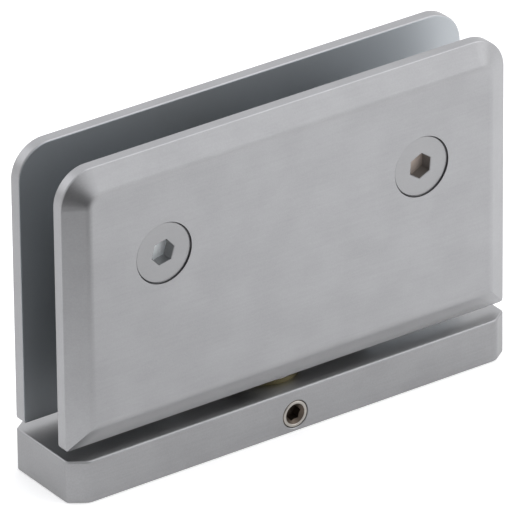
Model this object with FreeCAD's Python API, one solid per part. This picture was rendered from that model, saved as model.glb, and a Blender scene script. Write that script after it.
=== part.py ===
import FreeCAD, Part
import math
import os

# Pivot hinge for a glass shower door. Lengths are in millimetres and angles in degrees.
# The origin is the middle of the underside of the base. Z points up, X runs along the hinge
# and the front faces the -Y side.

# Clamp plates that grip the glass
plate_length = 90.0
plate_height = 50.9
plate_rim_thickness = 2.2
plate_bevel_rise = 2.3
plate_bevel_width = 4.2
plate_top_radius = 6.3
plate_foot_radius = 0.8
plate_rim_softening = 0.3
plate_crease_softening = 2.5
glass_gap = 10.0

# Base bar that is screwed to the sill
base_height = 7.8
base_corner_cut_length = 3.1
base_corner_cut_depth = 2.2
base_front_crease_softening = 2.5
base_end_crease_softening = 0.9
base_top_softening = 0.35
base_foot_softening = 0.25
base_hole_end_distance = 9.0
base_hole_radius = 2.4
base_countersink_radius = 4.4

# Pivot pin, turned in one piece with its flange
pin_shaft_radius = 3.5
pin_spigot_radius = 4.5
pin_flange_radius = 6.2
pin_flange_thickness = 0.8
pin_foot_gap = 0.5
pin_end_chamfer = 0.4
pin_end_length = 0.9
lock_groove_depth = 0.8
cam_flat_depth = 0.6
cam_margin = 1.5
cam_flat_count = 4

# Grub screw that locks the pin in the base
lock_screw_height = 3.2
lock_screw_radius = 2.5
lock_screw_hexagon = 2.5
lock_screw_hexagon_turn = 8.0
lock_screw_socket_depth = 2.2
lock_screw_mouth_radius = 1.95
lock_screw_edge = 0.16
lock_hole_edge = 0.12
lock_screw_inset = 0.05
lock_screw_tip_gap = 0.1

# Pivot block between the plates
block_width = 38.0
block_height = 34.0
block_corner_radius = 2.0
block_pocket_depth = 1.0
block_seat_gap = 0.05
ring_notch_depth = 3.0
ring_notch_side_gap = 0.8

# Bushes and washers on the pin
bush_wall = 1.2
bush_length = 8.0
thrust_washer_radius = 6.0
thrust_washer_thickness = 0.8
ring_washer_radius = 5.2
ring_washer_thickness = 0.7

# Retaining ring
ring_thickness = 0.8
ring_width = 1.5
ring_groove_depth = 0.3
ring_opening_angle = 50.0
ring_lug_radius = 1.1
ring_lug_hole_radius = 0.5

# Spring plungers that click onto the flats of the pin
plunger_radius = 3.0
plunger_length = 6.0
plunger_wall = 0.7
plunger_spring_hole_depth = 3.5
plunger_tip_chamfer = 0.3
spring_wire_width = 0.9
spring_wire_height = 0.8
spring_pitch = 1.5
plug_length = 4.3
plug_hexagon = 3.0
plug_socket_depth = 2.2
plug_inset = 0.2

# Clamp screws through the front plate
clamp_screw_offset = 7.2
clamp_screw_height = 32.3
clamp_screw_radius = 3.0
clamp_head_radius = 5.35
clamp_head_rim = 0.35
clamp_head_edge = 0.1
clamp_head_inset = 0.3
clamp_head_side_gap = 0.2
clamp_hexagon = 4.0
clamp_hexagon_turn_left = 12.0
clamp_hexagon_turn_right = 25.0
clamp_socket_depth = 2.3
clamp_boss_radius = 6.0
clamp_boss_height = 3.0
clamp_hole_floor = 1.0

# Screws that hold the block to the back plate
block_screw_radius = 2.0
block_screw_head_radius = 3.75
block_screw_head_rim = 0.25
block_screw_head_edge = 0.1
block_screw_hexagon = 2.5
block_screw_socket_depth = 1.6
block_screw_inset = 6.0
block_screw_hole_floor = 0.8

# Clearances, each one radial or along one face
running_clearance = 0.03
axial_clearance = 0.03
spigot_clearance = 0.05
thread_clearance = 0.05
press_clearance = 0.01
shank_clearance = 0.2
washer_clearance = 0.1
plunger_clearance = 0.05
plunger_tip_clearance = 0.02
spring_clearance = 0.1
countersink_clearance = 0.02
screw_end_gap = 0.4
screw_end_chamfer = 0.4

# How far a cutting shape runs past the face that it cuts, how near an edge lies to be found, how
# near the ends of a spring's turns are joined, and the most that a softened crease takes of the
# room in a rounded corner
overrun = 1.0
near = 1e-4
join_tolerance = 1e-5
softening_share = 0.9

# Levels and faces that the pieces share
plate_thickness = plate_rim_thickness + plate_bevel_rise
base_length = plate_length
base_depth = glass_gap + 2 * plate_thickness
inner_face = glass_gap / 2
outer_face = inner_face + plate_thickness
flange_bottom = base_height + axial_clearance
flange_top = flange_bottom + pin_flange_thickness
washer_bottom = flange_top + axial_clearance
plate_bottom = washer_bottom + thrust_washer_thickness + axial_clearance
plate_top = plate_bottom + plate_height
block_top = plate_bottom + block_height
block_face = inner_face + block_pocket_depth - block_seat_gap
notch_floor = block_top - ring_notch_depth
ring_washer_bottom = notch_floor + axial_clearance
ring_groove_bottom = ring_washer_bottom + ring_washer_thickness + axial_clearance
ring_bottom = ring_groove_bottom + axial_clearance
ring_groove_top = ring_bottom + ring_thickness + axial_clearance
pin_top = ring_groove_top + pin_end_length

# Sizes that follow from the pin
bush_inner_radius = pin_shaft_radius + running_clearance
bush_outer_radius = bush_inner_radius + bush_wall
washer_hole_radius = pin_shaft_radius + washer_clearance
lower_bush_top = plate_bottom + bush_length
upper_bush_bottom = notch_floor - bush_length
plunger_height = (lower_bush_top + upper_bush_bottom) / 2
cam_half_length = plunger_radius + cam_margin
ring_groove_radius = pin_shaft_radius - ring_groove_depth
ring_inner_radius = ring_groove_radius + running_clearance
ring_outer_radius = ring_inner_radius + ring_width
notch_half_width = ring_outer_radius + ring_lug_radius + ring_notch_side_gap

# Places of the screws
clamp_screw_distance = block_width / 2 + clamp_screw_offset
clamp_screw_level = plate_bottom + clamp_screw_height
block_screw_distance = block_width / 2 - block_screw_inset
base_hole_distance = base_length / 2 - base_hole_end_distance

# Directions
X = FreeCAD.Vector(1, 0, 0)
Y = FreeCAD.Vector(0, 1, 0)
Z = FreeCAD.Vector(0, 0, 1)
ORIGIN = FreeCAD.Vector(0, 0, 0)


def at(x, y, z):
    """A point or a vector."""
    return FreeCAD.Vector(x, y, z)


def turned(points):
    """Solid turned about Z from an outline of (radius, height) points."""
    corners = [at(radius, 0, height) for radius, height in points]
    outline = Part.makePolygon(corners + corners[:1])
    return Part.Face(outline).revolve(ORIGIN, Z, 360)


def aimed(shape, place, direction):
    """Copy of a shape that was built up the Z axis, turned to a direction and put in place."""
    copy = shape.copy()
    copy.Placement = FreeCAD.Placement(place, FreeCAD.Rotation(Z, direction))
    return copy


def ring(inner_radius, outer_radius, bottom, thickness):
    """Flat ring about Z."""
    outer = Part.makeCylinder(outer_radius, thickness, at(0, 0, bottom))
    inner = Part.makeCylinder(inner_radius, thickness, at(0, 0, bottom))
    return outer.cut(inner)


def rod(radius, start, end):
    """Cylinder between two points."""
    return Part.makeCylinder(radius, (end - start).Length, start, end - start)


def hexagon_socket(across_flats, depth, turn):
    """Cutting shape of a hexagon socket that goes down from z = 0."""
    corner_radius = across_flats / math.sqrt(3)
    corners = []
    for index in range(6):
        angle = math.radians(turn + 60 * index)
        corners.append(at(corner_radius * math.cos(angle), corner_radius * math.sin(angle), overrun))
    hexagon = Part.Face(Part.makePolygon(corners + corners[:1]))
    return hexagon.extrude(at(0, 0, -depth - overrun))


def countersunk_screw(radius, length, head_radius, head_rim, head_edge, hexagon, depth, turn):
    """Countersunk screw with its head's face at z = 0, pointing down."""
    cone_end = head_rim + head_radius - radius
    body = turned([
        (0, 0),
        (head_radius - head_edge, 0),
        (head_radius, -head_edge),
        (head_radius, -head_rim),
        (radius, -cone_end),
        (radius, screw_end_chamfer - length),
        (radius - screw_end_chamfer, -length),
        (0, -length),
    ])
    return body.cut(hexagon_socket(hexagon, depth, turn))


def countersink(head_radius, head_rim, head_inset, side_gap, screw_radius, length):
    """Cutting shape for a countersunk screw, with the plate's face at z = 0."""
    recess_radius = head_radius + side_gap
    recess_depth = head_inset + head_rim + countersink_clearance - side_gap
    hole_radius = screw_radius + shank_clearance
    cone_end = recess_depth + recess_radius - hole_radius
    return turned([
        (0, overrun),
        (recess_radius, overrun),
        (recess_radius, -recess_depth),
        (hole_radius, -cone_end),
        (hole_radius, -length),
        (0, -length),
    ])


def arched_outline(half_width, bottom, top, corner_radius, y):
    """Wire in the plane y, square at the bottom and with two rounded upper corners."""
    diagonal = corner_radius * (1 - math.sqrt(0.5))
    side = top - corner_radius
    flat = half_width - corner_radius
    edges = [
        Part.LineSegment(at(-half_width, y, bottom), at(half_width, y, bottom)),
        Part.LineSegment(at(half_width, y, bottom), at(half_width, y, side)),
        Part.Arc(
            at(half_width, y, side),
            at(half_width - diagonal, y, top - diagonal),
            at(flat, y, top),
        ),
        Part.LineSegment(at(flat, y, top), at(-flat, y, top)),
        Part.Arc(
            at(-flat, y, top),
            at(diagonal - half_width, y, top - diagonal),
            at(-half_width, y, side),
        ),
        Part.LineSegment(at(-half_width, y, side), at(-half_width, y, bottom)),
    ]
    return Part.Wire([edge.toShape() for edge in edges])


def edges_in_plane(shape, normal, level):
    """Edges of a shape that lie in the plane at a level along a row axis."""
    found = []
    for edge in shape.Edges:
        samples = [edge.valueAt(value) for value in edge.ParameterRange]
        samples.append(edge.valueAt(sum(edge.ParameterRange) / 2))
        if all(abs(point.dot(normal) - level) < near for point in samples):
            found.append(edge)
    return found


def clamp_plate_blank():
    """Plate with its inner face in the plane y = 0, a bevelled front and softened edges."""
    half_width = plate_length / 2
    outline = arched_outline(half_width, plate_bottom, plate_top, plate_top_radius, 0)
    prism = Part.Face(outline).extrude(at(0, -plate_thickness, 0))
    front_edges = edges_in_plane(prism, Y, -plate_thickness)
    plate = prism.makeChamfer(plate_bevel_rise, plate_bevel_width, front_edges)
    bevel_turn = math.atan2(plate_bevel_rise, plate_bevel_width)
    corner_room = (plate_top_radius - plate_bevel_width) / math.tan(bevel_turn / 2)
    crease_softening = min(plate_crease_softening, corner_room * softening_share)
    plate = plate.makeFillet(crease_softening, edges_in_plane(plate, Y, -plate_thickness))
    feet = []
    for edge in plate.Edges:
        middle = edge.CenterOfMass
        at_side = abs(abs(middle.x) - half_width) < near
        at_bottom = abs(middle.z - plate_bottom) < near
        if at_side and at_bottom:
            feet.append(edge)
    plate = plate.makeFillet(plate_foot_radius, feet)
    rims = edges_in_plane(plate, Y, -plate_rim_thickness)
    inner_rims = edges_in_plane(plate, Y, 0)
    return plate.makeFillet(plate_rim_softening, rims + inner_rims)


def block_pocket():
    """Cutting shape for the pockets of both plates, in which the pivot block sits."""
    half_depth = inner_face + block_pocket_depth
    outline = arched_outline(
        block_width / 2 + block_seat_gap,
        plate_bottom - overrun,
        block_top + block_seat_gap,
        block_corner_radius + block_seat_gap,
        -half_depth,
    )
    return Part.Face(outline).extrude(at(0, 2 * half_depth, 0))


def build_front_plate():
    """Front clamp plate with two recessed countersinks."""
    plate = clamp_plate_blank()
    plate.translate(at(0, -inner_face, 0))
    plate = plate.cut(block_pocket())
    cutter = countersink(
        clamp_head_radius,
        clamp_head_rim,
        clamp_head_inset,
        clamp_head_side_gap,
        clamp_screw_radius,
        plate_thickness + overrun,
    )
    for side in (-1, 1):
        place = at(side * clamp_screw_distance, -outer_face, clamp_screw_level)
        plate = plate.cut(aimed(cutter, place, -Y))
    return plate


def build_back_plate():
    """Back clamp plate with two threaded bosses and four blind threaded holes."""
    plate = clamp_plate_blank()
    plate.rotate(ORIGIN, Z, 180)
    plate.translate(at(0, inner_face, 0))
    boss_face = inner_face - clamp_boss_height
    for side in (-1, 1):
        x = side * clamp_screw_distance
        hole_end = at(x, outer_face - clamp_hole_floor, clamp_screw_level)
        boss = rod(clamp_boss_radius, at(x, boss_face, clamp_screw_level), hole_end)
        mouth = at(x, boss_face - overrun, clamp_screw_level)
        hole = rod(clamp_screw_radius + thread_clearance, mouth, hole_end)
        plate = plate.fuse(boss).cut(hole)
    plate = plate.cut(block_pocket())
    block_hole_end = outer_face - block_screw_hole_floor
    for x, z in block_screw_places():
        hole = rod(block_screw_radius + thread_clearance, at(x, inner_face, z), at(x, block_hole_end, z))
        plate = plate.cut(hole)
    return plate.removeSplitter()


def block_screw_places():
    """The x and z of the four block screws: lower left, lower right, upper left, upper right."""
    lower = plate_bottom + block_screw_inset
    upper = block_top - block_screw_inset
    distance = block_screw_distance
    return [(-distance, lower), (distance, lower), (-distance, upper), (distance, upper)]


def is_upright_at(edge, x_distance, y_distance):
    """Whether an edge stands upright at these distances from the planes x = 0 and y = 0."""
    middle = edge.CenterOfMass
    low, high = edge.BoundBox.ZMin, edge.BoundBox.ZMax
    at_place = abs(abs(middle.x) - x_distance) < near and abs(abs(middle.y) - y_distance) < near
    return at_place and high - low > near


def build_base():
    """Base bar with cut corners, the pin's bore, two countersunk holes and the lock screw's hole."""
    half_length = base_length / 2
    half_depth = base_depth / 2
    front_end = half_length - base_corner_cut_length
    side_end = half_depth - base_corner_cut_depth
    corners = [
        at(-front_end, -half_depth, 0),
        at(front_end, -half_depth, 0),
        at(half_length, -side_end, 0),
        at(half_length, side_end, 0),
        at(front_end, half_depth, 0),
        at(-front_end, half_depth, 0),
        at(-half_length, side_end, 0),
        at(-half_length, -side_end, 0),
    ]
    outline = Part.Face(Part.makePolygon(corners + corners[:1]))
    base = outline.extrude(at(0, 0, base_height))
    uprights = [edge for edge in base.Edges if abs(edge.CenterOfMass.z - base_height / 2) < near]
    front_creases = [edge for edge in uprights if abs(abs(edge.CenterOfMass.x) - front_end) < near]
    base = base.makeFillet(base_front_crease_softening, front_creases)
    end_creases = [edge for edge in base.Edges if is_upright_at(edge, half_length, side_end)]
    base = base.makeFillet(base_end_crease_softening, end_creases)
    base = base.makeFillet(base_top_softening, edges_in_plane(base, Z, base_height))
    base = base.makeFillet(base_foot_softening, edges_in_plane(base, Z, 0))
    bore = rod(pin_spigot_radius + spigot_clearance, at(0, 0, -overrun), at(0, 0, base_height + overrun))
    base = base.cut(bore)
    cone_depth = base_countersink_radius - base_hole_radius
    screw_hole = turned([
        (0, overrun),
        (base_countersink_radius, overrun),
        (base_countersink_radius, 0),
        (base_hole_radius, -cone_depth),
        (base_hole_radius, -base_height - overrun),
        (0, -base_height - overrun),
    ])
    for side in (-1, 1):
        base = base.cut(aimed(screw_hole, at(side * base_hole_distance, 0, base_height), Z))
    hole_radius = lock_screw_radius + thread_clearance
    lock_hole = turned([
        (0, overrun),
        (hole_radius + lock_hole_edge + overrun, overrun),
        (hole_radius, -lock_hole_edge),
        (hole_radius, -half_depth),
        (0, -half_depth),
    ])
    return base.cut(aimed(lock_hole, at(0, -half_depth, lock_screw_height), -Y))


def build_lock_screw():
    """Grub screw with a countersunk socket and a cone point just short of the pin's groove."""
    groove_radius = pin_spigot_radius - lock_groove_depth
    point = groove_radius + lock_screw_tip_gap * math.sqrt(2)
    length = base_depth / 2 - lock_screw_inset - point
    edge = lock_screw_edge
    cone_length = lock_screw_radius
    body = turned([
        (0, 0),
        (lock_screw_radius - edge, 0),
        (lock_screw_radius, -edge),
        (lock_screw_radius, cone_length - length),
        (0, -length),
    ])
    flat_radius = lock_screw_hexagon / 2
    mouth_depth = lock_screw_mouth_radius - flat_radius
    mouth = turned([
        (0, overrun),
        (lock_screw_mouth_radius, overrun),
        (lock_screw_mouth_radius, 0),
        (flat_radius, -mouth_depth),
        (0, -mouth_depth),
    ])
    socket = hexagon_socket(lock_screw_hexagon, lock_screw_socket_depth, lock_screw_hexagon_turn)
    place = at(0, lock_screw_inset - base_depth / 2, lock_screw_height)
    return aimed(body.cut(mouth).cut(socket), place, -Y)


def build_pin():
    """Pin with a spigot and groove in the base, a flange, four cam flats and a ring groove."""
    groove_radius = pin_spigot_radius - lock_groove_depth
    chamfer = pin_end_chamfer
    pin = turned([
        (0, pin_foot_gap),
        (pin_spigot_radius - chamfer, pin_foot_gap),
        (pin_spigot_radius, pin_foot_gap + chamfer),
        (pin_spigot_radius, lock_screw_height - lock_groove_depth),
        (groove_radius, lock_screw_height),
        (pin_spigot_radius, lock_screw_height + lock_groove_depth),
        (pin_spigot_radius, flange_bottom),
        (pin_flange_radius, flange_bottom),
        (pin_flange_radius, flange_top),
        (pin_shaft_radius, flange_top),
        (pin_shaft_radius, ring_groove_bottom),
        (ring_groove_radius, ring_groove_bottom),
        (ring_groove_radius, ring_groove_top),
        (pin_shaft_radius, ring_groove_top),
        (pin_shaft_radius, pin_top - chamfer),
        (pin_shaft_radius - chamfer, pin_top),
        (0, pin_top),
    ])
    flat_distance = pin_shaft_radius - cam_flat_depth
    reach = pin_shaft_radius + overrun
    for index in range(cam_flat_count):
        corner = at(flat_distance, -reach, plunger_height - cam_half_length)
        cutter = Part.makeBox(reach, 2 * reach, 2 * cam_half_length, corner)
        cutter.rotate(ORIGIN, Z, index * 360 / cam_flat_count)
        pin = pin.cut(cutter)
    return pin


def build_block():
    """Pivot block with stepped pin bore, spring bores, screw holes and the notch for the ring."""
    outline = arched_outline(block_width / 2, plate_bottom, block_top, block_corner_radius, -block_face)
    block = Part.Face(outline).extrude(at(0, 2 * block_face, 0))
    seat_radius = bush_outer_radius + press_clearance
    bore_radius = washer_hole_radius + washer_clearance
    bore = turned([
        (0, plate_bottom - overrun),
        (seat_radius, plate_bottom - overrun),
        (seat_radius, lower_bush_top),
        (bore_radius, lower_bush_top),
        (bore_radius, upper_bush_bottom),
        (seat_radius, upper_bush_bottom),
        (seat_radius, notch_floor + overrun),
        (0, notch_floor + overrun),
    ])
    notch_corner = at(-notch_half_width, -block_face - overrun, notch_floor)
    notch = Part.makeBox(
        2 * notch_half_width,
        2 * (block_face + overrun),
        ring_notch_depth + overrun,
        notch_corner,
    )
    spring_bore = rod(
        plunger_radius + plunger_clearance,
        at(-block_width / 2 - overrun, 0, plunger_height),
        at(block_width / 2 + overrun, 0, plunger_height),
    )
    block = block.cut(bore).cut(notch).cut(spring_bore)
    screw_hole = countersink(
        block_screw_head_radius,
        block_screw_head_rim,
        0,
        countersink_clearance,
        block_screw_radius,
        2 * block_face + overrun,
    )
    for x, z in block_screw_places():
        block = block.cut(aimed(screw_hole, at(x, -block_face, z), -Y))
    return block


def build_retaining_ring():
    """Open ring with two lugs, in the groove of the pin."""
    body = Part.makeCylinder(ring_outer_radius, ring_thickness, at(0, 0, ring_bottom))
    half_opening = math.radians(ring_opening_angle / 2)
    reach = 2 * ring_outer_radius
    wedge_edge = at(reach * math.cos(half_opening), reach * math.sin(half_opening), ring_bottom)
    mirrored_edge = at(wedge_edge.x, -wedge_edge.y, ring_bottom)
    centre = at(0, 0, ring_bottom)
    opening = Part.Face(Part.makePolygon([centre, wedge_edge, mirrored_edge, centre]))
    body = body.cut(opening.extrude(at(0, 0, ring_thickness)))
    lug_angle = half_opening + ring_lug_radius / ring_outer_radius
    for side in (-1, 1):
        x = ring_outer_radius * math.cos(lug_angle)
        y = side * ring_outer_radius * math.sin(lug_angle)
        lug = Part.makeCylinder(ring_lug_radius, ring_thickness, at(x, y, ring_bottom))
        hole = Part.makeCylinder(ring_lug_hole_radius, ring_thickness, at(x, y, ring_bottom))
        body = body.fuse(lug).cut(hole)
    inside = Part.makeCylinder(ring_inner_radius, ring_thickness, centre)
    return body.cut(inside).removeSplitter()


def build_plunger(side):
    """Plunger with a flat tip towards the pin and a blind hole for its spring."""
    hole_radius = plunger_radius - plunger_wall
    hole_bottom = plunger_length - plunger_spring_hole_depth
    body = turned([
        (0, 0),
        (plunger_radius - plunger_tip_chamfer, 0),
        (plunger_radius, plunger_tip_chamfer),
        (plunger_radius, plunger_length),
        (hole_radius, plunger_length),
        (hole_radius, hole_bottom),
        (0, hole_bottom),
    ])
    tip = pin_shaft_radius + plunger_tip_clearance
    return aimed(body, at(side * tip, 0, plunger_height), X * side)


def build_spring(side):
    """Coil spring of rectangular wire, in whole turns, with its ends ground flat."""
    hole_bottom = pin_shaft_radius + plunger_tip_clearance + plunger_length - plunger_spring_hole_depth
    plug_face = block_width / 2 - plug_inset - plug_length
    length = plug_face - hole_bottom - 2 * axial_clearance
    turn_count = round(length / spring_pitch)
    pitch = length / turn_count
    outer_radius = plunger_radius - plunger_wall - spring_clearance
    coil_radius = outer_radius - spring_wire_width / 2
    helix = Part.makeHelix(pitch, pitch, coil_radius)
    half_width = spring_wire_width / 2
    half_height = spring_wire_height / 2
    section = Part.makePolygon([
        at(coil_radius - half_width, 0, -half_height),
        at(coil_radius + half_width, 0, -half_height),
        at(coil_radius + half_width, 0, half_height),
        at(coil_radius - half_width, 0, half_height),
        at(coil_radius - half_width, 0, -half_height),
    ])
    turn = Part.Wire(helix).makePipeShell([section], True, True)
    turns = []
    for index in range(turn_count + 1):
        turns.append(turn.translated(at(0, 0, (index - 0.5) * pitch)))
    coil = turns[0].multiFuse(turns[1:], join_tolerance)
    ground = Part.makeCylinder(outer_radius + overrun, length)
    spring = coil.common(ground)
    return aimed(spring, at(side * (hole_bottom + axial_clearance), 0, plunger_height), X * side)


def build_plug(side):
    """Threaded plug with a hexagon socket in its outer end."""
    edge = plunger_clearance
    body = turned([
        (0, 0),
        (plunger_radius - edge, 0),
        (plunger_radius, -edge),
        (plunger_radius, -plug_length),
        (0, -plug_length),
    ])
    body = body.cut(hexagon_socket(plug_hexagon, plug_socket_depth, 0))
    return aimed(body, at(side * (block_width / 2 - plug_inset), 0, plunger_height), X * side)


def build_clamp_screw(side, turn):
    """Clamp screw from its recess in the front plate to its blind hole in the back plate."""
    head_face = clamp_head_inset - outer_face
    length = outer_face - clamp_hole_floor - screw_end_gap - head_face
    screw = countersunk_screw(
        clamp_screw_radius,
        length,
        clamp_head_radius,
        clamp_head_rim,
        clamp_head_edge,
        clamp_hexagon,
        clamp_socket_depth,
        turn,
    )
    return aimed(screw, at(side * clamp_screw_distance, head_face, clamp_screw_level), -Y)


def build_block_screw(x, z):
    """Screw through the block into the back plate, flush with the front of the block."""
    length = block_face + outer_face - block_screw_hole_floor - screw_end_gap
    screw = countersunk_screw(
        block_screw_radius,
        length,
        block_screw_head_radius,
        block_screw_head_rim,
        block_screw_head_edge,
        block_screw_hexagon,
        block_screw_socket_depth,
        0,
    )
    return aimed(screw, at(x, -block_face, z), -Y)


def build_parts():
    """All pieces of the hinge, by name."""
    parts = {
        "base_plate": build_base(),
        "front_plate": build_front_plate(),
        "back_plate": build_back_plate(),
        "pivot_block": build_block(),
        "pivot_pin": build_pin(),
        "pin_lock_screw": build_lock_screw(),
        "lower_bush": ring(bush_inner_radius, bush_outer_radius, plate_bottom, bush_length),
        "upper_bush": ring(bush_inner_radius, bush_outer_radius, upper_bush_bottom, bush_length),
        "thrust_washer": ring(
            washer_hole_radius, thrust_washer_radius, washer_bottom, thrust_washer_thickness
        ),
        "ring_washer": ring(
            washer_hole_radius, ring_washer_radius, ring_washer_bottom, ring_washer_thickness
        ),
        "retaining_ring": build_retaining_ring(),
        "clamp_screw_left": build_clamp_screw(-1, clamp_hexagon_turn_left),
        "clamp_screw_right": build_clamp_screw(1, clamp_hexagon_turn_right),
    }
    for name, side in (("left", -1), ("right", 1)):
        parts["plunger_" + name] = build_plunger(side)
        parts["plunger_spring_" + name] = build_spring(side)
        parts["spring_plug_" + name] = build_plug(side)
    names = ("lower_left", "lower_right", "upper_left", "upper_right")
    for name, place in zip(names, block_screw_places()):
        parts["block_screw_" + name] = build_block_screw(*place)
    return parts


os.makedirs("parts", exist_ok=True)
for part_name, part_shape in build_parts().items():
    part_shape.exportStep("parts/" + part_name + ".step")
    print(part_name, part_shape.isValid(), len(part_shape.Solids), round(part_shape.Volume, 2))
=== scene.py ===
"""Looks of a pivot hinge for a glass shower door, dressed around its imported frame.

Lengths are in metres unless a name ends in _mm, _px or _deg. The frame gives where every piece is:
the origin is the middle of the underside of the base, Z points up and the front faces -Y.
"""

import logging
import math
from dataclasses import dataclass, field, replace
from enum import Enum
from typing import Callable

import bmesh
import bpy
from mathutils import Matrix, Vector


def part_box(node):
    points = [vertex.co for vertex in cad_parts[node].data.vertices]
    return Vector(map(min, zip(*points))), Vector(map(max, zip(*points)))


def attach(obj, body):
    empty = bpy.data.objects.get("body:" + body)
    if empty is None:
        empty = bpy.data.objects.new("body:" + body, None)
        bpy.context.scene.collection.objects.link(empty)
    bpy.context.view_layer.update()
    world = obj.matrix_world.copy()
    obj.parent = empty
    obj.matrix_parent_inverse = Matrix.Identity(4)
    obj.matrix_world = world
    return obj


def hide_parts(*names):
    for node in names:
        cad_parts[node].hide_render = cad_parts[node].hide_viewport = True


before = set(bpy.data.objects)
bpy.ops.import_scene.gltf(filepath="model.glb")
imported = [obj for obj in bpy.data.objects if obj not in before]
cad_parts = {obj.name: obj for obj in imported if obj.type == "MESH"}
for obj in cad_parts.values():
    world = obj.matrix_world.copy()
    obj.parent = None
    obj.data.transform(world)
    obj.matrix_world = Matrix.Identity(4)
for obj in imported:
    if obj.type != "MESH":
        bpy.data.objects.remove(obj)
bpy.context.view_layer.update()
MM = 0.001
MERGE = 1e-6  # Points nearer to each other than this are one point.
SHARP = math.radians(20)  # Edges that turn by more than this stay sharp.
HALF = 0.5  # The middle of what runs from 0 to 1.
WHITE = (1.0, 1.0, 1.0)
MIX_FACTOR, MIX_FIRST, MIX_SECOND, MIX_RESULT = 0, 6, 7, 2  # A Mix node's sockets for colours.
log = logging.getLogger("hinge")


def add_object(name: str, data: bpy.types.ID) -> bpy.types.Object:
    """Adds an object to the scene, at the origin.

    Args:
        name: the object's name.
        data: its mesh, camera or light.

    Returns:
        The object.
    """
    made = bpy.data.objects.new(name, data)
    bpy.context.collection.objects.link(made)
    return made


class Side(Enum):
    """The two ends of the hinge, as the sign of X."""

    LEFT = -1
    RIGHT = 1

    @property
    def word(self) -> str:
        """The word that node names use for this side."""
        return self.name.lower()


class Wire:
    """A shader socket whose arithmetic adds Math nodes."""

    def __init__(self, craft: "Craft", socket: bpy.types.NodeSocket) -> None:
        """Wraps one output socket.

        Args:
            craft: the node tree that the socket is in.
            socket: the output socket.
        """
        self.craft = craft
        self.socket = socket

    def math(self, operation: str, *others: "Wire | float") -> "Wire":
        """Adds a Math node.

        Args:
            operation: the node's operation.
            others: the second and third operands.

        Returns:
            The node's result.
        """
        inputs = dict(enumerate((self, *others)))
        return self.craft.node("ShaderNodeMath", {"operation": operation}, inputs)

    def __add__(self, other: "Wire | float") -> "Wire":
        """Sum."""
        return self.math("ADD", other)

    def __radd__(self, other: float) -> "Wire":
        """Sum, with the number first."""
        return self.math("ADD", other)

    def __sub__(self, other: "Wire | float") -> "Wire":
        """Difference."""
        return self.math("SUBTRACT", other)

    def __rsub__(self, other: float) -> "Wire":
        """Difference, with the number first."""
        return self.math("MULTIPLY_ADD", -1.0, other)

    def __mul__(self, other: "Wire | float") -> "Wire":
        """Product."""
        return self.math("MULTIPLY", other)

    def __rmul__(self, other: float) -> "Wire":
        """Product, with the number first."""
        return self.math("MULTIPLY", other)

    def __truediv__(self, other: "Wire | float") -> "Wire":
        """Quotient."""
        return self.math("DIVIDE", other)

    def __rtruediv__(self, other: float) -> "Wire":
        """Quotient, with the number first."""
        return self.math("POWER", -1.0) * other

    def between(self, low: float, high: float) -> "Wire":
        """Smooth step up.

        Args:
            low: the value at which the step starts.
            high: the value at which it ends.

        Returns:
            0 up to low, 1 from high on.
        """
        settings = {"interpolation_type": "SMOOTHSTEP"}
        inputs = {"Value": self, "From Min": low, "From Max": high}
        return self.craft.node("ShaderNodeMapRange", settings, inputs)

    def until(self, end: float, gone: float) -> "Wire":
        """Smooth step down.

        Args:
            end: the value at which the step starts.
            gone: the value at which it ends.

        Returns:
            1 up to end, 0 from gone on.
        """
        return 1.0 - self.between(end, gone)


@dataclass(frozen=True)
class Noise:
    """A noise on object coordinates.

    per_metre is how many features there are in a metre, detail is how many finer layers are
    added, rough is how strong those are, and stretch scales the coordinates along X, Y and Z.
    """

    per_metre: float
    detail: float
    rough: float
    stretch: tuple[float, float, float] = (1.0, 1.0, 1.0)


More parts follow.
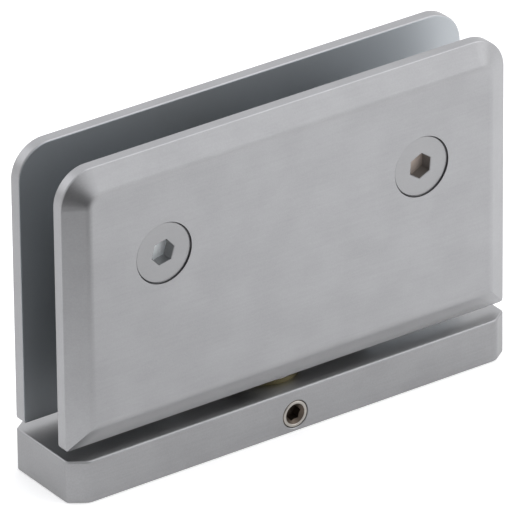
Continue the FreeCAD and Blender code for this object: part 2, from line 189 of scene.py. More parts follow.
class Craft:
    """Adds nodes to one node tree."""

    def __init__(self, tree: bpy.types.NodeTree) -> None:
        """Empties the tree.

        Args:
            tree: the node tree to build in.
        """
        self.tree = tree
        tree.nodes.clear()

    def node(
        self,
        kind: str,
        settings: dict | None = None,
        inputs: dict | None = None,
        output: int | str = 0,
    ) -> Wire | None:
        """Adds a node of any type.

        Args:
            kind: the node's type.
            settings: the node's own settings, set first.
            inputs: input name or number to a wire or a value.
            output: the output to return.

        Returns:
            The output, or None where the node has none.
        """
        made = self.tree.nodes.new(kind)
        for name, value in (settings or {}).items():
            setattr(made, name, value)
        for name, value in (inputs or {}).items():
            if isinstance(value, Wire):
                self.tree.links.new(value.socket, made.inputs[name])
            else:
                made.inputs[name].default_value = value
        return Wire(self, made.outputs[output]) if made.outputs else None

    def place(self) -> Wire:
        """Object coordinates."""
        return self.node("ShaderNodeTexCoord", output="Object")

    def noise(self, noise: Noise) -> Wire:
        """Noise from 0 to 1.

        Args:
            noise: how fine, rough and stretched it is.

        Returns:
            The noise.
        """
        inputs = {"Vector": self.place(), "Scale": noise.stretch}
        where = self.node("ShaderNodeMapping", {}, inputs)
        inputs = {
            "Vector": where,
            "Scale": noise.per_metre,
            "Detail": noise.detail,
            "Roughness": noise.rough,
        }
        return self.node("ShaderNodeTexNoise", {}, inputs)

    def part(self, where: Wire, axis: str) -> Wire:
        """One coordinate of a point.

        Args:
            where: the coordinates.
            axis: X, Y or Z.

        Returns:
            The coordinate.
        """
        return self.node("ShaderNodeSeparateXYZ", {}, {0: where}, axis)

    def blend(self, share: Wire, first: tuple | Wire, second: tuple | Wire) -> Wire:
        """Mixes two colours.

        Args:
            share: how much of the second colour shows.
            first: the first colour.
            second: the second colour.

        Returns:
            The mixed colour.
        """
        inputs = {MIX_FACTOR: share}
        for socket, colour in ((MIX_FIRST, first), (MIX_SECOND, second)):
            inputs[socket] = colour if isinstance(colour, Wire) else (*colour, 1.0)
        return self.node("ShaderNodeMix", {"data_type": "RGBA"}, inputs, MIX_RESULT)

    def bump(self, height: Wire, depth: float, strength: float) -> Wire:
        """Turns a height into a bent normal.

        Args:
            height: the height, from 0 to 1.
            depth: how far 1 stands over 0.
            strength: how much the normal bends.

        Returns:
            The normal.
        """
        inputs = {"Height": height, "Distance": depth, "Strength": strength}
        return self.node("ShaderNodeBump", {}, inputs)


def new_material(name: str) -> tuple[bpy.types.Material, Craft]:
    """Makes a material without nodes.

    Args:
        name: the material's name.

    Returns:
        The material, and what adds its nodes.
    """
    made = bpy.data.materials.new(name)
    made.use_nodes = True
    return made, Craft(made.node_tree)


@dataclass(frozen=True)
class MetalFinish:
    """A metal with fine grain, drawn lines and slight clouding of its colour.

    Where inner_face is set, what lies between the distances inner_end and inner_face from the
    plane y = 0 has the inner roughness and the inner colour. On a plate that is the face towards
    the glass, which is blasted and not drawn, and so rougher; its inner colour, lighter and bluer
    than the plate, is partly that finish and partly painted light, for the light that falls
    between the plates. In a screw's socket the inner colour is painted light where it is lighter
    than the screw, and painted shade where it is darker. Where a painted highlight is set, the
    colour is painted that far towards white at its level height, and stays as it is at its start
    height, but only in front of its back plane, one of constant y, never further than its face
    distance from the plane y = 0, nor beyond a mitre that climbs inwards at 45 degrees from its
    corner, the corner's distance from the plane x = 0. This painted highlight stands in for
    reflected light, on a plate's lower bevel and on the base's top.
    """

    name: str
    colour: tuple[float, float, float]
    cloud: tuple[float, float, float]
    roughness: float
    slot: str = "screw_steel"
    roughness_spread: float = 0.06
    grain: Noise = Noise(3600.0, 3.0, 0.6)
    lines: Noise = Noise(3000.0, 2.0, 0.55, (0.05, 1.0, 1.0))
    line_share: float = 0.35
    clouds: Noise = Noise(130.0, 3.0, 0.55)
    cloud_starts: float = 0.3
    cloud_full: float = 0.7
    relief: float = 0.00002
    relief_strength: float = 0.3
    grain_contrast: float = 1.6
    cloud_contrast: float = 0.35
    inner_face: float = 0.0
    inner_end: float = 0.0
    inner_roughness: float = 0.0
    inner_painted_colour: tuple[float, float, float] = (0.0, 0.0, 0.0)
    inner_step: float = 0.0002
    painted_highlight_strength: float = 0.0
    painted_highlight_start: float = 0.0
    painted_highlight_level: float = 0.0
    painted_highlight_face: float = 1.0
    painted_highlight_back: float = 1.0
    painted_highlight_corner: float = 1.0
    painted_highlight_fade: float = 0.004

    def material(self) -> bpy.types.Material:
        """Builds the material.

        Returns:
            A procedural metal on object coordinates.
        """
        made, craft = new_material(self.name)
        grain = craft.noise(self.grain)
        lines = craft.noise(self.lines)
        clouds = craft.noise(self.clouds).between(self.cloud_starts, self.cloud_full)
        texture = grain * (1.0 - self.line_share) + lines * self.line_share
        tone = (clouds - HALF) * self.cloud_contrast + (texture - HALF) * self.grain_contrast + HALF
        colour = craft.blend(tone, self.colour, self.cloud)
        roughness = texture * self.roughness_spread + (self.roughness - self.roughness_spread / 2)
        # Inner region: rougher, and its colour holds painted light or painted shade, as each finish sets
        # it.
        if self.inner_face:
            inside = self._inside(craft)
            roughness = roughness + inside * (self.inner_roughness - self.roughness)
            colour = craft.blend(inside, colour, self.inner_painted_colour)
        # Painted highlight: the colour is painted lighter, towards white, where the metal should mirror
        # bright light.
        if self.painted_highlight_strength:
            colour = craft.blend(self._painted_highlight_share(craft), colour, WHITE)
        shader = craft.node("ShaderNodeBsdfPrincipled", {}, {
            "Base Color": colour,
            "Metallic": 1.0,
            "Roughness": roughness,
            "Normal": craft.bump(texture, self.relief, self.relief_strength),
        })
        craft.node("ShaderNodeOutputMaterial", {}, {"Surface": shader})
        return made

    def _inside(self, craft: Craft) -> Wire:
        """Where the inner region lies: a plate's face towards the glass, or a screw's socket, whose
        colour holds painted light or shade.

        Args:
            craft: the nodes to add to.

        Returns:
            1 there, 0 elsewhere.
        """
        depth = craft.part(craft.place(), "Y").math("ABSOLUTE")
        within = depth.until(self.inner_face, self.inner_face + self.inner_step)
        return within * depth.between(self.inner_end - self.inner_step, self.inner_end)

    def _painted_highlight_share(self, craft: Craft) -> Wire:
        """How far the painted highlight turns the colour towards white.

        Args:
            craft: the nodes to add to.

        Returns:
            From 0 to the painted highlight's strength.
        """
        place = craft.place()
        across, along, height = (craft.part(place, axis) for axis in "XYZ")
        off_face = along.math("ABSOLUTE").until(self.painted_highlight_face, self.painted_highlight_face + self.inner_step)
        in_front = along.until(self.painted_highlight_back, self.painted_highlight_back + self.inner_step)
        mitre = self.painted_highlight_corner + self.painted_highlight_level
        off_side = (across.math("ABSOLUTE") + height).until(mitre - self.painted_highlight_fade, mitre)
        rise = (height - self.painted_highlight_start) / (self.painted_highlight_level - self.painted_highlight_start)
        share = rise.math("MINIMUM", 1.0).math("MAXIMUM", 0.0)
        return share * off_face * in_front * off_side * self.painted_highlight_strength


@dataclass(frozen=True)
class PlasticFinish:
    """A smooth moulded plastic with a faint flow pattern."""

    name: str
    colour: tuple[float, float, float]
    cloud: tuple[float, float, float]
    roughness: float
    roughness_spread: float = 0.12
    flow: Noise = Noise(420.0, 3.0, 0.5, (1.0, 1.0, 3.0))
    relief: float = 0.00002
    relief_strength: float = 0.15

    def material(self) -> bpy.types.Material:
        """Builds the material.

        Returns:
            A procedural plastic on object coordinates.
        """
        made, craft = new_material(self.name)
        flow = craft.noise(self.flow)
        shader = craft.node("ShaderNodeBsdfPrincipled", {}, {
            "Base Color": craft.blend(flow, self.colour, self.cloud),
            "Roughness": flow * self.roughness_spread + (self.roughness - self.roughness_spread / 2),
            "Normal": craft.bump(flow, self.relief, self.relief_strength),
        })
        craft.node("ShaderNodeOutputMaterial", {}, {"Surface": shader})
        return made


SATIN_PLATE = MetalFinish(
    "satin_plate",
    (0.307, 0.307, 0.314),
    (0.368, 0.368, 0.376),
    0.39,
    slot="satin_plate",
    # Face towards the glass: rougher as blasted; its lighter, bluish colour is partly that finish and
    # partly painted light between the plates.
    inner_face=0.00502,
    inner_roughness=0.50,
    inner_painted_colour=(0.462, 0.484, 0.503),
    inner_step=0.00006,
    # Painted reflection: the front plate's lower bevel is painted lighter, towards white.
    painted_highlight_strength=0.62,
    painted_highlight_start=0.0133,
    painted_highlight_level=0.0095,
    painted_highlight_face=0.0092,
    painted_highlight_back=0.0,
    painted_highlight_corner=0.045,
)
# Painted shade: the same satin metal as the plates, painted darker for the base's darker surroundings
# near the table.
SATIN_BASE_PAINTED_SHADE = MetalFinish(
    "satin_base",
    (0.261, 0.261, 0.266),
    (0.322, 0.322, 0.328),
    0.40,
    # Painted highlight: the base's top face is painted a little lighter, towards white.
    painted_highlight_strength=0.085,
    painted_highlight_start=0.0077,
    painted_highlight_level=0.00778,
)
SATIN_SCREW = MetalFinish(
    "satin_screw",
    (0.295, 0.295, 0.300),
    (0.328, 0.328, 0.333),
    0.36,
    slot="satin_screw",
    # Socket walls and floor: rougher, and painted light, nearly white, lighter than the screw.
    inner_face=0.00692,
    inner_end=0.0046,
    inner_roughness=0.70,
    inner_painted_colour=(0.96, 0.99, 1.0),
    inner_step=0.00002,
)
# The right screw: its socket is painted light too, lighter than the screw and brownish.
SATIN_SCREW_BROWNISH_SOCKET = replace(
    SATIN_SCREW, name="satin_screw_brownish_socket", inner_painted_colour=(0.67, 0.59, 0.53)
)
LOCK_STEEL = MetalFinish(
    "lock_steel",
    (0.32, 0.30, 0.275),
    (0.42, 0.40, 0.37),
    0.36,
    # Socket and all below the face ring: painted shade, dark brownish, darker than the screw.
    inner_face=0.00936,
    inner_roughness=0.45,
    inner_painted_colour=(0.10, 0.08, 0.065),
    inner_step=0.00002,
)
SCREW_STEEL = MetalFinish("screw_steel", (0.36, 0.345, 0.33), (0.42, 0.405, 0.39), 0.34)
SPRING_STEEL = MetalFinish("spring_steel", (0.22, 0.22, 0.23), (0.29, 0.29, 0.30), 0.36)
TURNED_BRASS = MetalFinish(
    "turned_brass",
    (0.15, 0.13, 0.07),
    (0.19, 0.165, 0.09),
    0.46,
    lines=Noise(3000.0, 2.0, 0.55, (1.0, 1.0, 30.0)),
)
PLATED_BLOCK = MetalFinish(
    "plated_block",
    (0.36, 0.37, 0.38),
    (0.41, 0.42, 0.43),
    0.46,
    grain=Noise(2600.0, 3.0, 0.6),
    relief=0.00003,
)
BUSH_BRONZE = MetalFinish(
    "bush_bronze",
    (0.30, 0.18, 0.08),
    (0.37, 0.24, 0.12),
    0.48,
    grain=Noise(3400.0, 3.0, 0.6),
    relief=0.00003,
)
WASHER_PLASTIC = PlasticFinish("washer_plastic", (0.80, 0.79, 0.74), (0.86, 0.85, 0.81), 0.42)


@dataclass
class Wardrobe:
    """Gives pieces their finishes and keeps each material once."""

    made: dict[str, bpy.types.Material] = field(default_factory=dict)

    def dress(self, piece: bpy.types.Object, finish: MetalFinish | PlasticFinish) -> None:
        """Gives a piece its only material.

        Args:
            piece: the object.
            finish: the finish of its surface.
        """
        if finish.name not in self.made:
            self.made[finish.name] = finish.material()
        if not piece.material_slots:
            piece.data.materials.append(None)
        for slot in piece.material_slots:
            slot.material = self.made[finish.name]
        log.info("%s is dressed in %s", piece.name, finish.name)

    def dress_node(self, node: str, finish: MetalFinish | PlasticFinish) -> None:
        """Dresses a piece of the frame.

        Args:
            node: the piece's name.
            finish: the finish of its surface.
        """
        self.dress(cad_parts[node], finish)

    def dress_new(self, threaded: "ThreadedPiece") -> None:
        """Makes a threaded piece and dresses it and the plain one that it stands for.

        Args:
            threaded: the piece to make.
        """
        piece = threaded.build()
        self.dress(piece, threaded.finish)
        self.dress_node(threaded.node, threaded.finish)


@dataclass
class PhotoCamera:
    """The camera of the photograph, from the pixels of straight edges of the object."""

    image_px: float = 515.0
    focal_px: float = 9035.0
    px_per_mm: float = 5.94
    azimuth_deg: float = -35.16
    elevation_deg: float = 27.68
    roll_deg: float = 0.57
    origin_px: tuple[float, float] = (262.97, 409.11)
    sensor_mm: float = 36.0
    clip_start: float = 0.05
    clip_end: float = 50.0

    def build(self) -> bpy.types.Object:
        """Makes the camera and makes it the scene's.

        Returns:
            The camera.
        """
        turn, tilt, roll = (
            math.radians(angle) for angle in (self.azimuth_deg, self.elevation_deg, self.roll_deg)
        )
        back = Vector((math.sin(turn) * math.cos(tilt), -math.cos(turn) * math.cos(tilt), math.sin(tilt)))
        level = Vector((math.cos(turn), math.sin(turn), 0.0))
        upright = back.cross(level)
        across = level * math.cos(roll) - upright * math.sin(roll)
        upwards = level * math.sin(roll) + upright * math.cos(roll)
        middle = self.image_px / 2
        place = (
            across * ((middle - self.origin_px[0]) / self.px_per_mm)
            + upwards * ((self.origin_px[1] - middle) / self.px_per_mm)
            + back * (self.focal_px / self.px_per_mm)
        ) * MM
        data = bpy.data.cameras.new("photo_camera")
        data.sensor_width = self.sensor_mm
        data.lens = self.focal_px / self.image_px * self.sensor_mm
        data.clip_start = self.clip_start
        data.clip_end = self.clip_end
        camera = add_object("photo_camera", data)
        axes = Matrix((across, upwards, back)).transposed().to_4x4()
        camera.matrix_world = Matrix.Translation(place) @ axes
        bpy.context.scene.camera = camera
        return camera


@dataclass(frozen=True)
class Patch:
    """A round part of the surroundings, brighter or darker than the rest."""

    towards: tuple[float, float, float]
    change: float
    starts: float
    full: float

    def strength(self, craft: Craft, direction: Wire) -> Wire:
        """How near a direction is to the middle of the patch.

        Args:
            craft: the nodes to add to.
            direction: the direction that is lit, of length 1.

        Returns:
            0 away from the patch, 1 in its middle.
        """
        middle = Vector(self.towards).normalized()
        settings = {"operation": "DOT_PRODUCT"}
        near = craft.node("ShaderNodeVectorMath", settings, {0: direction, 1: middle}, "Value")
        return near.between(self.starts, self.full)


@dataclass(frozen=True)
class Studio:
    """Pale table in soft white surroundings, with one large soft lamp.

    The surroundings are brighter overhead, at the right end, and over three corners, but not over
    the front left one. They are a little darker at the horizon, though not at the right. Where
    the photographer stood they are darkest, and the metal shows the far table darker there too.
    It also shows the table darker left of the hinge, away from its foot, and less so behind it.
    """

    table_radius: float = 2.0
    table_drop: float = 0.00005
    table_colour: tuple[float, float, float] = (0.80, 0.80, 0.80)
    table_lift: float = 0.38
    table_segments: int = 128
    surround: float = 0.90
    low_tint: tuple[float, float, float] = WHITE
    high_tint: tuple[float, float, float] = (0.975, 0.98, 1.0)
    tint_height: float = 0.5
    photographer: Patch = Patch((-0.32, -0.94, 0.03), -0.98, 0.86, 0.96)
    corner_light: Patch = Patch((0.62, 0.55, 0.50), 0.36, 0.30, 0.95)
    overhead_light: Patch = Patch((0.45, -0.10, 0.88), 1.30, 0.90, 0.98)
    front_light: Patch = Patch((0.46, -0.80, 0.38), 0.45, 0.83, 0.98)
    back_light: Patch = Patch((-0.46, 0.72, 0.51), 0.95, 0.88, 0.99)
    right_light: Patch = Patch((0.93, -0.36, 0.05), 0.18, 0.85, 0.98)
    eye_level: float = 0.035
    far_starts: float = 0.09
    far_full: float = 0.20
    side_share: float = 0.27
    side_relief: float = 0.14
    side_x_starts: float = -0.045
    side_x_full: float = 0.05
    side_y_starts: float = 0.018
    side_y_full: float = 0.06
    horizon_dip: float = 0.12
    horizon_width: float = 0.16
    horizon_starts: float = 0.60
    horizon_ends: float = 0.90
    lamp_place: tuple[float, float, float] = (0.55, -0.30, 0.45)
    lamp_size: float = 0.60
    lamp_power: float = 0.8

    def build(self) -> None:
        """Makes the world, the table and the lamp."""
        self._surroundings()
        self._table()
        self._lamp()

    def _surroundings(self) -> None:
        """Light from all round, plain white to the camera."""
        world = bpy.data.worlds.new("studio")
        bpy.context.scene.world = world
        world.use_nodes = True
        craft = Craft(world.node_tree)
        direction = craft.node("ShaderNodeTexCoord", output="Generated")
        height = craft.part(direction, "Z")
        level = height.math("ABSOLUTE").until(0.0, self.horizon_width)
        off_right = craft.part(direction, "X").until(self.horizon_starts, self.horizon_ends)
        strength = self.surround - level * off_right * self.horizon_dip
        for patch in (
            self.photographer,
            self.corner_light,
            self.overhead_light,
            self.front_light,
            self.back_light,
            self.right_light,
        ):
            strength = strength + patch.strength(craft, direction) * patch.change
        tint = craft.blend(height.between(0.0, self.tint_height), self.low_tint, self.high_tint)
        lit = {"Color": tint, "Strength": strength.math("MAXIMUM", 0.0)}
        soft = craft.node("ShaderNodeBackground", {}, lit)
        plain = craft.node("ShaderNodeBackground", {}, {"Color": (*WHITE, 1.0)})
        camera = craft.node("ShaderNodeLightPath", output="Is Camera Ray")
        both = craft.node("ShaderNodeMixShader", {}, {0: camera, 1: soft, 2: plain})
        craft.node("ShaderNodeOutputWorld", {}, {"Surface": both})

    def _table_darkness(self, craft: Craft) -> Wire:
        """How much darker than the rest the metal shows a place on the table.

        Args:
            craft: the nodes to add to.

        Returns:
            0 where it is as bright as the rest.
        """
        place = craft.place()
        eye = Vector((0.0, 0.0, self.eye_level))
        from_eye = craft.node("ShaderNodeVectorMath", {"operation": "SUBTRACT"}, {0: place, 1: eye})
        direction = craft.node("ShaderNodeVectorMath", {"operation": "NORMALIZE"}, {0: from_eye})
        front = self.photographer.strength(craft, direction) * -self.photographer.change
        distance = craft.node("ShaderNodeVectorMath", {"operation": "LENGTH"}, {0: place}, "Value")
        far = distance.between(self.far_starts, self.far_full)
        left = (craft.part(place, "X") * -1.0).between(self.side_x_starts, self.side_x_full)
        behind = craft.part(place, "Y").between(0.0, self.side_y_starts)
        clear = craft.part(place, "Y").math("ABSOLUTE").between(self.side_y_starts, self.side_y_full)
        side = self.side_share - behind * self.side_relief
        return front * far + left * clear * side

    def _table(self) -> None:
        """A pale table that shows white to the camera and in the metal, and keeps the shadow.

        It lies a hair below the base, and from below it is clear, so that the underside shows.
        """
        mesh = bpy.data.meshes.new("table")
        bm = bmesh.new()
        bmesh.ops.create_circle(
            bm, cap_ends=True, segments=self.table_segments, radius=self.table_radius
        )
        bmesh.ops.translate(bm, verts=bm.verts, vec=(0.0, 0.0, -self.table_drop))
        bm.to_mesh(mesh)
        bm.free()
        table = add_object("table", mesh)
        made, craft = new_material("pale_table")
        kinds = ("Is Camera Ray", "Is Glossy Ray", "Is Transmission Ray")
        camera, glossy, through = (craft.node("ShaderNodeLightPath", output=kind) for kind in kinds)
        seen = camera.math("MAXIMUM", glossy).math("MAXIMUM", through)
        plain = craft.node("ShaderNodeBsdfDiffuse", {}, {"Color": (*self.table_colour, 1.0)})
        glow = craft.node("ShaderNodeEmission", {}, {"Strength": seen * self.table_lift})
        both = craft.node("ShaderNodeAddShader", {}, {0: plain, 1: glow})
        black = craft.node("ShaderNodeEmission", {}, {"Strength": 0.0})
        inputs = {0: self._table_darkness(craft) * glossy, 1: both, 2: black}
        upper = craft.node("ShaderNodeMixShader", {}, inputs)
        under = craft.node("ShaderNodeNewGeometry", output="Backfacing")
        clear = craft.node("ShaderNodeBsdfTransparent")
        whole = craft.node("ShaderNodeMixShader", {}, {0: under, 1: upper, 2: clear})
        craft.node("ShaderNodeOutputMaterial", {}, {"Surface": whole})
        mesh.materials.append(made)

    def _lamp(self) -> None:
        """One large soft lamp, high before the right end."""
        data = bpy.data.lights.new("soft_lamp", "AREA")
        data.shape = "DISK"
        data.size = self.lamp_size
        data.energy = self.lamp_power
        lamp = add_object("soft_lamp", data)
        place = Vector(self.lamp_place)
        turn = place.to_track_quat("Z", "Y").to_matrix().to_4x4()
        lamp.matrix_world = Matrix.Translation(place) @ turn


@dataclass(frozen=True)
class HexagonSocket:
    """Hexagon socket in a screw's face, with a cone at its mouth where mouth_radius is set."""

    across_flats: float
    depth: float
    turn_deg: float = 0.0
    mouth_radius: float = 0.0
    edge_break: float = 0.00012

    def reach(self, angle: float) -> float:
        """How far the hexagon's side is from the axis.

        Args:
            angle: the direction from the axis, in radians.

        Returns:
            The distance.
        """
        sixth = math.radians(60)
        off = (angle - math.radians(self.turn_deg)) % sixth - sixth / 2
        return self.across_flats / 2 / math.cos(off)

    def cut(self, loop: "GrowingLoop") -> None:
        """Carries a loop at height 0 over the socket's edge, down its walls and over its floor.

        Args:
            loop: the open edge of the screw's face.
        """
        if self.mouth_radius:
            loop.to(self.mouth_radius, 0.0)
            loop.to(self.reach, lambda radius: radius - self.mouth_radius)
        else:
            loop.to(lambda angle: self.reach(angle) + self.edge_break * 2, 0.0)
            loop.to(lambda angle: self.reach(angle) + self.edge_break, 0.0)
            loop.to(self.reach, -self.edge_break)
        loop.to(self.reach, -self.depth)
        loop.close()


class GrowingLoop:
    """An open edge of a mesh about the Z axis, which is carried on from ring to ring."""

    def __init__(self, bm: bmesh.types.BMesh, height: float) -> None:
        """Finds the open edge at a height.

        Args:
            bm: the mesh.
            height: the height of the open edge.
        """
        self.bm = bm
        self.edges = [
            edge
            for edge in bm.edges
            if edge.is_boundary and all(abs(vert.co.z - height) < MERGE for vert in edge.verts)
        ]

    def to(
        self,
        radius: "float | Callable[[float], float]",
        height: "float | Callable[[float], float]",
    ) -> None:
        """Extrudes the loop to its next ring.

        Args:
            radius: the ring's radius, or what gives it from the angle.
            height: the ring's height, or what gives it from the radius.
        """
        made = bmesh.ops.extrude_edge_only(self.bm, edges=self.edges)["geom"]
        self.edges = [item for item in made if isinstance(item, bmesh.types.BMEdge)]
        for vert in (item for item in made if isinstance(item, bmesh.types.BMVert)):
            angle = math.atan2(vert.co.y, vert.co.x)
            out = radius(angle) if callable(radius) else radius
            up = height(out) if callable(height) else height
            vert.co = (out * math.cos(angle), out * math.sin(angle), up)

    def close(self) -> None:
        """Fills the loop with one flat face."""
        bmesh.ops.contextual_create(self.bm, geom=self.edges)

    def point(self, height: float) -> None:
        """Ends the loop in a point on the axis.

        Args:
            height: the height of the point.
        """
        self.to(MERGE, height)
        tip = {vert for edge in self.edges for vert in edge.verts}
        bmesh.ops.pointmerge(self.bm, verts=list(tip), merge_co=(0.0, 0.0, height))


@dataclass(frozen=True)
class MetricThread:
    """Thread of trapezoid teeth, rolled round the Z axis.

    steps is how many there are in a turn. The shares are of the pitch. The spin starts run_in
    pitches below the lower end and makes spare_turns more than the length needs.
    """

    radius: float
    pitch: float
    steps: int = 48
    depth_share: float = 0.6134
    crest_share: float = 0.16
    root_share: float = 0.22
    run_in: float = 1.25
    spare_turns: int = 2

    @property
    def root(self) -> float:
        """The radius at the bottom of the thread."""
        return self.radius - self.pitch * self.depth_share

    def roll(self, bm: bmesh.types.BMesh, top: float, bottom: float, start_deg: float) -> None:
        """Spins one tooth into a thread and cuts it square at both ends.

        Args:
            bm: the mesh to add to.
            top: the height of the upper end.
            bottom: the height of the lower end.
            start_deg: the angle at which the spin starts.
        """
        turns = math.ceil((top - bottom) / self.pitch) + self.spare_turns
        tooth = self._tooth(bm, bottom - self.pitch * self.run_in)
        turn = Matrix.Rotation(math.radians(start_deg), 3, "Z")
        bmesh.ops.rotate(bm, cent=(0, 0, 0), matrix=turn, verts=tooth)
        bmesh.ops.spin(
            bm,
            geom=bm.verts[:] + bm.edges[:],
            cent=(0, 0, 0),
            axis=(0, 0, 1),
            dvec=(0, 0, self.pitch / self.steps),
            angle=math.radians(360 * turns),
            steps=self.steps * turns,
            use_merge=False,
        )
        bmesh.ops.remove_doubles(bm, verts=bm.verts[:], dist=MERGE)
        for level, outward in ((top, 1), (bottom, -1)):
            bmesh.ops.bisect_plane(
                bm,
                geom=bm.verts[:] + bm.edges[:] + bm.faces[:],
                dist=MERGE / 10,
                plane_co=(0, 0, level),
                plane_no=(0, 0, outward),
                clear_outer=True,
            )

    def _tooth(self, bm: bmesh.types.BMesh, low: float) -> list[bmesh.types.BMVert]:
        """Draws the outline of one tooth in the plane y = 0.

        Args:
            bm: the mesh to add to.
            low: the height of the outline's lower end.

        Returns:
            The outline's points, from below.
        """
        flank = (1.0 - self.crest_share - self.root_share) / 2
        profile = (
            (self.root, self.root_share),
            (self.radius, self.root_share + flank),
            (self.radius, 1.0 - flank),
            (self.root, 1.0),
        )
        tooth = [bm.verts.new((self.root, 0.0, low))]
        for out, share in profile:
            made = bmesh.ops.extrude_vert_indiv(bm, verts=tooth[-1:])["verts"][0]
            made.co = (out, 0.0, low + share * self.pitch)
            tooth.append(made)
        return tooth


class ScrewEnd(Enum):
    """How the far end of a screw is finished."""

    CHAMFERED = "chamfered"
    POINTED = "pointed"


@dataclass(frozen=True)
class ThreadedPiece:
    """A screw, grub screw or plug that stands for a plain one of the frame.

    Its place, its length and the radius of its head are those of the plain one. rings are the
    radius and depth of each ring from the edge of its face to where the thread starts.
    """

    node: str
    body: str
    finish: MetalFinish
    facing: tuple[float, float, float]
    thread: MetricThread
    socket: HexagonSocket
    rings: tuple[tuple[float, float], ...]
    end: ScrewEnd = ScrewEnd.CHAMFERED
    end_chamfer: float = 0.0004

    def build(self) -> bpy.types.Object:
        """Makes the piece and puts it where the plain one is.

        Returns:
            The threaded piece.
        """
        low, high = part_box(self.node)
        outward = Vector(self.facing)
        middle = (low + high) / 2
        length = abs((high - low).dot(outward))
        face = middle + outward * (length / 2)
        bm = bmesh.new()
        self._shape(bm, length)
        turn = Vector((0, 0, 1)).rotation_difference(outward).to_matrix().to_4x4()
        bmesh.ops.transform(bm, matrix=Matrix.Translation(face) @ turn, verts=bm.verts)
        bmesh.ops.recalc_face_normals(bm, faces=bm.faces[:])
        mesh = bpy.data.meshes.new("threaded_" + self.node)
        bm.to_mesh(mesh)
        bm.free()
        mesh.polygons.foreach_set("use_smooth", [True] * len(mesh.polygons))
        mesh.set_sharp_from_angle(angle=SHARP)
        piece = add_object(mesh.name, mesh)
        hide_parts(self.node)
        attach(piece, self.body)
        return piece

    def _shape(self, bm: bmesh.types.BMesh, length: float) -> None:
        """Makes the piece along the Z axis, with its face at height 0 and the rest below it.

        Args:
            bm: the mesh to add to.
            length: the piece's length.
        """
        tip_length = self.thread.radius if self.end is ScrewEnd.POINTED else self.end_chamfer
        top = -self.rings[-1][1]
        bottom = tip_length - length
        self.thread.roll(bm, top, bottom, self.socket.turn_deg)
        upper = GrowingLoop(bm, top)
        lower = GrowingLoop(bm, bottom)
        for radius, depth in reversed(self.rings):
            upper.to(radius, -depth)
        self.socket.cut(upper)
        if self.end is ScrewEnd.POINTED:
            lower.point(-length)
        else:
            lower.to(self.thread.radius - self.end_chamfer - self.thread.pitch / 2, -length)
            lower.close()


@dataclass(frozen=True)
class CountersunkHead:
    """A 90 degree countersunk head, as wide as that of the plain screw.

    rim is the depth at which the cone starts, edge is how far the edge of the face is rounded,
    and neck is the length between the cone and the thread.
    """

    rim: float
    edge: float
    neck: float

    def rings(self, node: str, thread: MetricThread) -> tuple[tuple[float, float], ...]:
        """Rings from the edge of the face to the thread.

        Args:
            node: the plain screw.
            thread: the screw's thread.

        Returns:
            The radius and depth of each ring.
        """
        low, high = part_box(node)
        head = (high.z - low.z) / 2
        shank = (thread.root + thread.radius) / 2
        cone_end = self.rim + head - shank
        inset = self.edge * (1 - math.sqrt(0.5))
        return (
            (head - 2 * self.edge, 0.0),
            (head - self.edge, 0.0),
            (head - inset, inset),
            (head, self.edge),
            (head, self.rim),
            (shank, cone_end),
            (shank, cone_end + self.neck),
        )


@dataclass
class BaseBar:
    """The bar that is screwed to the sill, and the grub screw that locks the pin in it."""

    wardrobe: Wardrobe
    lock_thread: MetricThread = MetricThread(0.0025, 0.0008)
    lock_socket: HexagonSocket = HexagonSocket(0.0025, 0.0022, 8.0, mouth_radius=0.00195)
    lock_edge: float = 0.00016
    soft_edge: float = 0.00004

    def build(self) -> None:
        """Dresses the bar and makes the grub screw."""
        # The base's satin metal is painted darker than the plates' as painted shade.
        self.wardrobe.dress_node("base_plate", SATIN_BASE_PAINTED_SHADE)
        edge = self.lock_edge
        soft = self.soft_edge
        face_radius = self.lock_thread.radius - edge
        rings = (
            (face_radius - 2 * soft, 0.0),
            (face_radius - soft, 0.0),
            (face_radius + soft / 2, soft),
            (self.lock_thread.radius, edge),
            (self.lock_thread.radius, 2 * edge),
        )
        grub = ThreadedPiece(
            "pin_lock_screw",
            "base",
            LOCK_STEEL,
            (0, -1, 0),
            self.lock_thread,
            self.lock_socket,
            rings,
            ScrewEnd.POINTED,
        )
        self.wardrobe.dress_new(grub)


@dataclass
class PinAssembly:
    """The pivot pin with what stays on it, and the bushes and washers that it turns in."""

    wardrobe: Wardrobe

    def build(self) -> None:
        """Dresses the turned and pressed pieces."""
        finishes = {
            "pivot_pin": TURNED_BRASS,
            "retaining_ring": SPRING_STEEL,
            "ring_washer": SCREW_STEEL,
            "thrust_washer": WASHER_PLASTIC,
            "lower_bush": BUSH_BRONZE,
            "upper_bush": BUSH_BRONZE,
        }
        for node, finish in finishes.items():
            self.wardrobe.dress_node(node, finish)


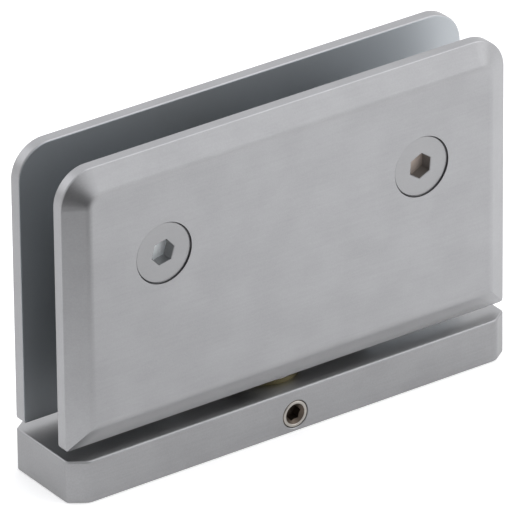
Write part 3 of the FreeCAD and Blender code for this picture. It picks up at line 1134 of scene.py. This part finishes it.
@dataclass
class GlassClamp:
    """The two bevelled plates and the countersunk screws that draw them onto the glass."""

    wardrobe: Wardrobe
    thread: MetricThread = MetricThread(0.003, 0.001)
    across_flats: float = 0.004
    socket_depth: float = 0.0023
    left_turn_deg: float = 12.0
    right_turn_deg: float = 25.0
    head: CountersunkHead = CountersunkHead(rim=0.00035, edge=0.0001, neck=0.0006)

    def build(self) -> None:
        """Dresses the plates and makes the two screws."""
        for node in ("front_plate", "back_plate"):
            self.wardrobe.dress_node(node, SATIN_PLATE)
        # Both screws' sockets are painted light; the right one's is brownish.
        left = (Side.LEFT, self.left_turn_deg, SATIN_SCREW)
        right = (Side.RIGHT, self.right_turn_deg, SATIN_SCREW_BROWNISH_SOCKET)
        for side, turn_deg, finish in (left, right):
            socket = HexagonSocket(self.across_flats, self.socket_depth, turn_deg)
            node = "clamp_screw_" + side.word
            rings = self.head.rings(node, self.thread)
            screw = ThreadedPiece(node, "door_clamp", finish, (0, -1, 0), self.thread, socket, rings)
            self.wardrobe.dress_new(screw)


@dataclass
class PivotBlock:
    """The block between the plates and the four screws that hold it to the back plate."""

    wardrobe: Wardrobe
    thread: MetricThread = MetricThread(0.002, 0.0007)
    socket: HexagonSocket = HexagonSocket(0.0025, 0.0016)
    head: CountersunkHead = CountersunkHead(rim=0.00025, edge=0.0001, neck=0.0004)

    def build(self) -> None:
        """Dresses the block and makes its screws."""
        self.wardrobe.dress_node("pivot_block", PLATED_BLOCK)
        for row in ("lower", "upper"):
            for side in Side:
                node = f"block_screw_{row}_{side.word}"
                rings = self.head.rings(node, self.thread)
                screw = ThreadedPiece(
                    node, "door_clamp", SCREW_STEEL, (0, -1, 0), self.thread, self.socket, rings
                )
                self.wardrobe.dress_new(screw)


@dataclass
class DetentPlungers:
    """The two sprung plungers that click onto the pin's flats, and the plugs behind their springs."""

    wardrobe: Wardrobe
    plug_thread: MetricThread = MetricThread(0.003, 0.00075)
    plug_socket: HexagonSocket = HexagonSocket(0.003, 0.0022)
    plug_edge: float = 0.00012

    def build(self) -> None:
        """Dresses the plungers and springs and makes the plugs."""
        for side in Side:
            self.wardrobe.dress_node("plunger_" + side.word, SCREW_STEEL)
            self.wardrobe.dress_node("plunger_spring_" + side.word, SPRING_STEEL)
            crest = self.plug_thread.radius
            rings = ((crest - 2 * self.plug_edge, 0.0), (crest - self.plug_edge, self.plug_edge))
            plug = ThreadedPiece(
                "spring_plug_" + side.word,
                "door_clamp",
                SCREW_STEEL,
                (side.value, 0, 0),
                self.plug_thread,
                self.plug_socket,
                rings,
            )
            self.wardrobe.dress_new(plug)


def main() -> None:
    """Builds the whole scene in order."""
    logging.basicConfig(level=logging.INFO, format="%(name)s: %(message)s")
    bpy.context.scene.view_settings.view_transform = "Standard"
    PhotoCamera().build()
    Studio().build()
    wardrobe = Wardrobe()
    for assembly in (BaseBar, PinAssembly, PivotBlock, DetentPlungers, GlassClamp):
        assembly(wardrobe).build()
        log.info("%s is built", assembly.__name__)


if __name__ == "__main__":
    main()
